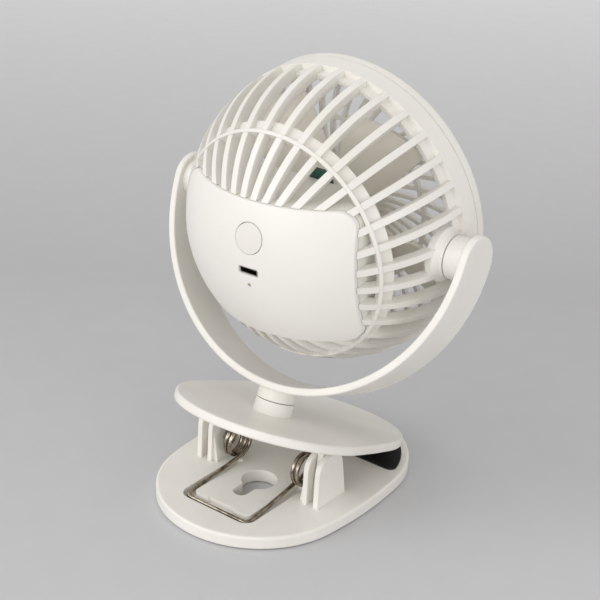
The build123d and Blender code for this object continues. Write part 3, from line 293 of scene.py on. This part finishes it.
def pan_screw(node, way, head_height, side=0):
    """Rings of a pan-head screw with a cross recess, fitted to the extent of its CAD node.
    The height over the seat is h(r) = head - dome (r/R)^2 less the recess, whose depth is the
    larger of two soft-edged bars crossed at right angles."""
    mesh = NODES[node].data
    cloud = np.empty(len(mesh.vertices) * 3)
    mesh.vertices.foreach_get("co", cloud)
    cloud = cloud.reshape(-1, 3)
    if side:
        cloud = cloud[cloud[:, 0] * side > 0]
    way = np.array(way) / np.linalg.norm(way)
    one = ACROSS if abs(way[0]) < 0.5 else UPWARD
    two = np.cross(way, one)
    along = cloud @ way
    top, tip = along.max(), along.min()
    middle = (cloud.max(0) + cloud.min(0)) / 2
    foot = middle - way * (middle @ way)
    out = np.linalg.norm(cloud - foot - along[:, None] * way, axis=1)
    head_radius = out.max()
    # The shank is all there is in the quarter next to the tip.
    shank_radius = out[along < (top + 3 * tip) / 4].max()
    seat = top - head_height
    rim = head_radius - RIM_ROUND * head_height
    share = np.linspace(0, 1, 22)
    turn = np.linspace(0, 2 * pi, 56, endpoint=False)
    below_rim = [head_radius, head_radius, shank_radius, shank_radius, shank_radius * END_FLAT, 0.0]
    radius = np.concatenate([share * rim, below_rim])
    dome = top - DOME_RISE * head_height * share ** 2
    thread_end = tip + shank_radius * END_CHAMFER
    height = np.concatenate([dome, [dome[-1] - RIM_ROUND * head_height, seat, seat, thread_end, tip, tip]])
    x = radius[:, None] * np.cos(turn)
    y = radius[:, None] * np.sin(turn)
    half, reach = BAR_HALF * head_radius, BAR_REACH * head_radius

    def inside(distance, limit):
        """1 inside the limit, 0 outside, with a soft edge half on each side."""
        return np.clip((limit - np.abs(distance)) / (BAR_SOFT * head_radius) + 0.5, 0, 1)

    cross = np.maximum(inside(x, half) * inside(y, reach), inside(y, half) * inside(x, reach))
    cross[len(share):] = 0
    level = height[:, None] - RECESS_DEPTH * head_height * cross
    return foot + x[..., None] * one + y[..., None] * two + level[..., None] * way


def rounded_block(across, up, ahead, half_across, half_up, half_ahead, roundness=0.16):
    """Rings of a superellipsoid in the head's frame, in millimetres: each axis is its half size
    times the sign and a small power of the cosine or sine of two angles."""
    lift = np.linspace(-pi / 2, pi / 2, 17)[:, None]
    turn = np.linspace(0, 2 * pi, 32, endpoint=False)[None, :]

    def power(value):
        """The value's size to a small power, with its sign kept."""
        return np.sign(value) * np.abs(value) ** roundness

    x = across + half_across * power(np.cos(lift)) * power(np.cos(turn))
    y = up + half_up * power(np.cos(lift)) * power(np.sin(turn))
    z = ahead + half_ahead * power(np.sin(lift)) * np.ones_like(turn)
    return PIVOT + MM * (x[..., None] * ACROSS + y[..., None] * UPWARD + z[..., None] * FORWARD)


swivel_head = closed_skins("swivel_screw_cross_head", [pan_screw("swivel_screw", -SWIVEL, CASE_HEAD)],
                           zinc_steel, "yoke")
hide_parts("swivel_screw")
pivot_heads = closed_skins("pivot_screws_cross_head",
                           [pan_screw("pivot_screws", -side * ACROSS, CASE_HEAD, side) for side in (-1, 1)],
                           zinc_steel, "yoke")
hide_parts("pivot_screws")
motor_heads = closed_skins("motor_screws_cross_head",
                           [pan_screw("motor_screws", FORWARD, MOTOR_HEAD, side) for side in (-1, 1)],
                           zinc_steel, "head")
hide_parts("motor_screws")

# Parts soldered to the boards: places and half sizes in millimetres in the head's frame.
CONTROL_FACE, DRIVER_FACE = -40.7, -16.4
closed_skins("control_board_chips", [
    rounded_block(9.0, 12.0, CONTROL_FACE - 0.5, 2.5, 2.0, 0.55),
    rounded_block(10.0, 3.5, CONTROL_FACE - 0.9, 2.6, 2.6, 0.95, 0.3),
    rounded_block(-12.0, 12.0, CONTROL_FACE - 0.4, 1.5, 1.5, 0.45),
], epoxy_black, "head")
closed_skins("control_board_capacitors", [
    rounded_block(-12.0, up, CONTROL_FACE - 0.35, 1.5, 0.8, 0.4) for up in (7.5, 5.0, 2.5, -5.5)
] + [
    rounded_block(across, -1.5, CONTROL_FACE - 0.2, 0.5, 0.9, 0.25) for across in (5.0, 6.6, 8.2, 9.8)
], ceramic_tan, "head")
closed_skins("control_board_connector", [
    rounded_block(9.5, -5.8, CONTROL_FACE - 1.3, 3.6, 1.8, 1.35, 0.1),
], nylon_cream, "head")
closed_skins("driver_board_chips", [
    rounded_block(-13.0, 25.0, DRIVER_FACE + 0.5, 2.5, 1.9, 0.55),
    rounded_block(13.5, 21.8, DRIVER_FACE + 0.4, 1.4, 1.2, 0.45),
], epoxy_black, "head")
closed_skins("driver_board_capacitors", [
    rounded_block(across, 22.6, DRIVER_FACE + 0.35, 0.8, 1.4, 0.4) for across in (-4.0, 0.0, 4.0, 8.0)
] + [
    rounded_block(-13.0, 29.0, DRIVER_FACE + 0.35, 1.6, 0.8, 0.4),
], ceramic_tan, "head")

# ---------------------------------------------------------------- the clip spring's wire
HINGE = np.array(JOINTS["clip_hinge"]["pos_m"])
ALONG_JAW = -np.cross(ACROSS, SWIVEL)
# In millimetres, apart from the count of full turns; the underside is over the hinge, across the jaw.
WIRE_RADIUS, COIL_RADIUS, COIL_PITCH, COIL_TURNS = 0.85, 6.1, 2.2, 2
JAW_UNDERSIDE, JAW_CLEARANCE = 14.7, 0.15


def spring_path():
    """Centre line of half the spring, millimetres: half the rear bar, a quarter-round corner, the
    splayed leg to the coil, a helix x = x0 + pitch turn, y and z on the coil's circle, the arm on
    the circle's tangent and its foot along the jaw."""
    bar_half, bar_y, bar_z = 16.1, 44.0, 4.5
    coil_x, arm_reach, bend = 14.9, 14.0, 3.0
    bar_points, corner_points, leg_points, helix_points, arm_points, foot_points = 8, 12, 24, 150, 8, 10
    hinge_y, hinge_z = HINGE[1] / MM, HINGE[2] / MM
    reach, depth = bar_y - hinge_y, hinge_z - bar_z
    begin = np.arctan2(depth, reach) - np.arcsin(COIL_RADIUS / np.hypot(reach, depth))
    arm_height = JAW_UNDERSIDE - WIRE_RADIUS - JAW_CLEARANCE
    arm_length = np.hypot(arm_reach, arm_height)
    lean = np.arctan2(-SWIVEL[1], SWIVEL[2])
    rise = np.arctan2(arm_height, arm_reach) - np.arcsin(COIL_RADIUS / arm_length)
    finish = pi - lean - rise + 2 * pi * COIL_TURNS
    corner = np.array([bar_half, bar_y, bar_z])

    def coil_point(angle):
        """Point of the coil at this angle, counted from straight down towards the mouth."""
        x = coil_x + COIL_PITCH * (angle - begin) / (2 * pi)
        return np.stack([x, hinge_y - COIL_RADIUS * np.sin(angle), hinge_z - COIL_RADIUS * np.cos(angle)], -1)

    def rounded(before, at, after, steps):
        """Corner rounded by a curve that leaves and reaches both runs on their own lines."""
        t = np.linspace(0, 1, steps)[:, None]
        return (1 - t) ** 2 * before + 2 * t * (1 - t) * at + t ** 2 * after

    first = coil_point(np.array(begin))
    leg = (first - corner) / np.linalg.norm(first - corner)
    bar_x = np.linspace(0, bar_half - bend, bar_points)
    bar = np.stack([bar_x, np.full_like(bar_x, bar_y), np.full_like(bar_x, bar_z)], -1)
    leg_start = corner + leg * bend
    turn = rounded(bar[-1], corner, leg_start, corner_points)[1:-1]
    run = leg_start + np.linspace(0, 1, leg_points)[:-1, None] * (first - leg_start)
    helix = coil_point(np.linspace(begin, finish, helix_points))
    way = np.array([0.0, -np.cos(finish), np.sin(finish)])
    tip = helix[-1] + way * (np.sqrt(arm_length ** 2 - COIL_RADIUS ** 2) - bend)
    arm = helix[-1] + np.linspace(0, 1, arm_points)[1:, None] * (tip - way * bend - helix[-1])
    foot_end = tip + ALONG_JAW * bend
    foot = rounded(arm[-1], tip, foot_end, foot_points)[1:]
    foot_steps = np.array([[1.3], [2.7], [4.0]])
    return np.concatenate([bar, turn, run, helix, arm, foot, foot_end + ALONG_JAW * foot_steps])


def wire_skin(centre, radius, around=20):
    """Round wire on a centre line: a ring is centre + r (cos a N + sin a B), with N carried from
    ring to ring so that the wire doesn't twist. A chamfer closes each end to a pole."""
    chamfer = 0.25
    tangent = np.gradient(centre, axis=0)
    tangent /= np.linalg.norm(tangent, axis=1, keepdims=True)
    normal = np.empty_like(centre)
    carried = np.array([0.0, 0.0, 1.0])
    for k, way in enumerate(tangent):
        carried = carried - way * (carried @ way)
        carried /= np.linalg.norm(carried)
        normal[k] = carried
    binormal = np.cross(tangent, normal)
    turn = np.linspace(0, 2 * pi, around, endpoint=False)
    ring = np.cos(turn)[None, :, None] * normal[:, None] + np.sin(turn)[None, :, None] * binormal[:, None]
    body = centre[:, None] + radius * ring

    def cap(end, inward):
        """Rings of one end from its pole to the full width."""
        face = centre[end] + (1 - chamfer) * radius * ring[end]
        pole = np.broadcast_to(centre[end], face.shape)
        return np.stack([pole, face, body[end] + inward * radius * chamfer])

    return np.concatenate([cap(0, tangent[0]), body[1:-1], cap(-1, -tangent[-1])[::-1]])


half_path = spring_path()
mirror_path = half_path[:0:-1] * np.array([-1.0, 1.0, 1.0])
whole_path = np.concatenate([mirror_path, half_path]) * MM
spring_wire = closed_skins("clip_spring_wire", [wire_skin(whole_path, WIRE_RADIUS * MM)],
                           spring_steel)
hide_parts("clip_spring")
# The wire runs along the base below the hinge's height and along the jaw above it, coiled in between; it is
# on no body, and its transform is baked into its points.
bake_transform(spring_wire)

# ---------------------------------------------------------------- camera, as in the photograph
azimuth, elevation, roll = radians(216.594), radians(24.19), radians(2.616)
distance = 0.54267
focal_px, frame_px = 1360.7, 600
target = Vector((0.0, -0.005, 0.0789))
back = Vector((sin(azimuth) * cos(elevation), -cos(azimuth) * cos(elevation), sin(elevation)))
level_right = Vector((cos(azimuth), sin(azimuth), 0.0))
level_up = back.cross(level_right)
right = level_right * cos(roll) + level_up * sin(roll)
up = level_up * cos(roll) - level_right * sin(roll)
lens = bpy.data.cameras.new("camera")
lens.sensor_width = 36.0
lens.lens = focal_px * lens.sensor_width / frame_px
lens.clip_start = 0.01
lens.clip_end = 50.0
camera = bpy.data.objects.new("camera", lens)
bpy.context.scene.collection.objects.link(camera)
axes = Matrix((right, up, back)).transposed()
camera.matrix_world = Matrix.Translation(target + back * distance) @ axes.to_4x4()
bpy.context.scene.camera = camera


# ---------------------------------------------------------------- floor, backdrop and lamps
def floor_sheet():
    """Flat square of studio paper at z = 0: a grid of points whose x and y run over equal steps."""
    steps = np.linspace(-FLOOR_REACH, FLOOR_REACH, 13)
    x, y = np.meshgrid(steps, steps, indexing="ij")
    points = np.stack([x, y, np.zeros_like(x)], -1)
    rows, cols = x.shape
    first = (np.arange(rows - 1)[:, None] * cols + np.arange(cols - 1)).ravel()
    faces = np.stack([first, first + cols, first + cols + 1, first + 1], -1)
    mesh = bpy.data.meshes.new("studio_floor")
    mesh.from_pydata(points.reshape(-1, 3).tolist(), [], faces.tolist())
    sheet = bpy.data.objects.new("studio_floor", mesh)
    bpy.context.scene.collection.objects.link(sheet)
    return sheet


floor = floor_sheet()


def background_paper(name):
    """Matt grey paper with faint fibres, with painted light and shade on it: mid grey around the object,
    painted shade just behind it and painted light far behind, as a backdrop with its own lamp looks. The run
    is metres along the floor."""
    material, tree, output, place = new_material(name)
    fibres = spread(tree, noise(tree, place, PAPER_FIBRE, Detail=5.0), 0.97, 1.03)
    run = put(tree, "ShaderNodeVectorMath", {0: place}, {1: (-back.x, -back.y, 0.0)}, operation="DOT_PRODUCT")
    depth = spread(tree, run.outputs["Value"], 0.0, 1.0, from_min=-0.2, from_max=1.1)
    # Painted light and shade: the paper's tone dips just behind the object and rises far behind it, set by
    # distance and not by the lamps.
    tone = put(tree, "ShaderNodeValToRGB", {"Fac": depth})
    tone.color_ramp.elements[0].color = (0.66, 0.66, 0.675, 1.0)
    tone.color_ramp.elements[1].color = (0.77, 0.77, 0.785, 1.0)
    tone.color_ramp.elements.new(0.3).color = (0.50, 0.50, 0.51, 1.0)
    colour = put(tree, "ShaderNodeVectorMath", {0: tone.outputs["Color"], 1: fibres}, operation="MULTIPLY")
    surface(tree, output, {"Base Color": colour.outputs["Vector"]}, {"Roughness": 0.9})
    return material


floor.data.materials.append(background_paper("grey_paper_with_painted_light"))


def far_lamp(name, direction, strength, width):
    """A wide soft light from far off, which leaves no bright patch on the paper. Its strength is in
    watts per square metre and its width in degrees."""
    light = bpy.data.lights.new(name, "SUN")
    light.energy = strength
    light.angle = radians(width)
    lamp = bpy.data.objects.new(name, light)
    bpy.context.scene.collection.objects.link(lamp)
    lamp.rotation_euler = direction.to_track_quat("Z", "Y").to_euler()


overhead = Vector((0.0, 0.0, 1.0))
far_lamp("key_light", back - level_right * 0.75 - overhead * 0.08, strength=0.64, width=38.0)
far_lamp("side_light", back * 0.2 - level_right + overhead * 0.5, strength=0.74, width=46.0)
far_lamp("low_fill", back + level_right * 0.8 - overhead * 0.3, strength=0.46, width=24.0)
far_lamp("front_fill", back, strength=0.36, width=24.0)

world = bpy.data.worlds.new("studio")
bpy.context.scene.world = world
world.use_nodes = True
sky_tree = world.node_tree
sky_tree.nodes.clear()
room_light = put(sky_tree, "ShaderNodeBackground", None, {"Color": linear("#F6F5F4"), "Strength": 0.71})
backdrop = put(sky_tree, "ShaderNodeBackground", None, {"Color": linear("#CDCDCF"), "Strength": 1.0})
ray = put(sky_tree, "ShaderNodeLightPath")
# The camera sees the grey of a far wall, while the object gets the brighter light of the room.
shown = put(sky_tree, "ShaderNodeMixShader",
            {0: ray.outputs["Is Camera Ray"], 1: room_light.outputs["Background"],
             2: backdrop.outputs["Background"]})
put(sky_tree, "ShaderNodeOutputWorld", {"Surface": shown.outputs["Shader"]})

bpy.context.scene.view_settings.view_transform = "Standard"
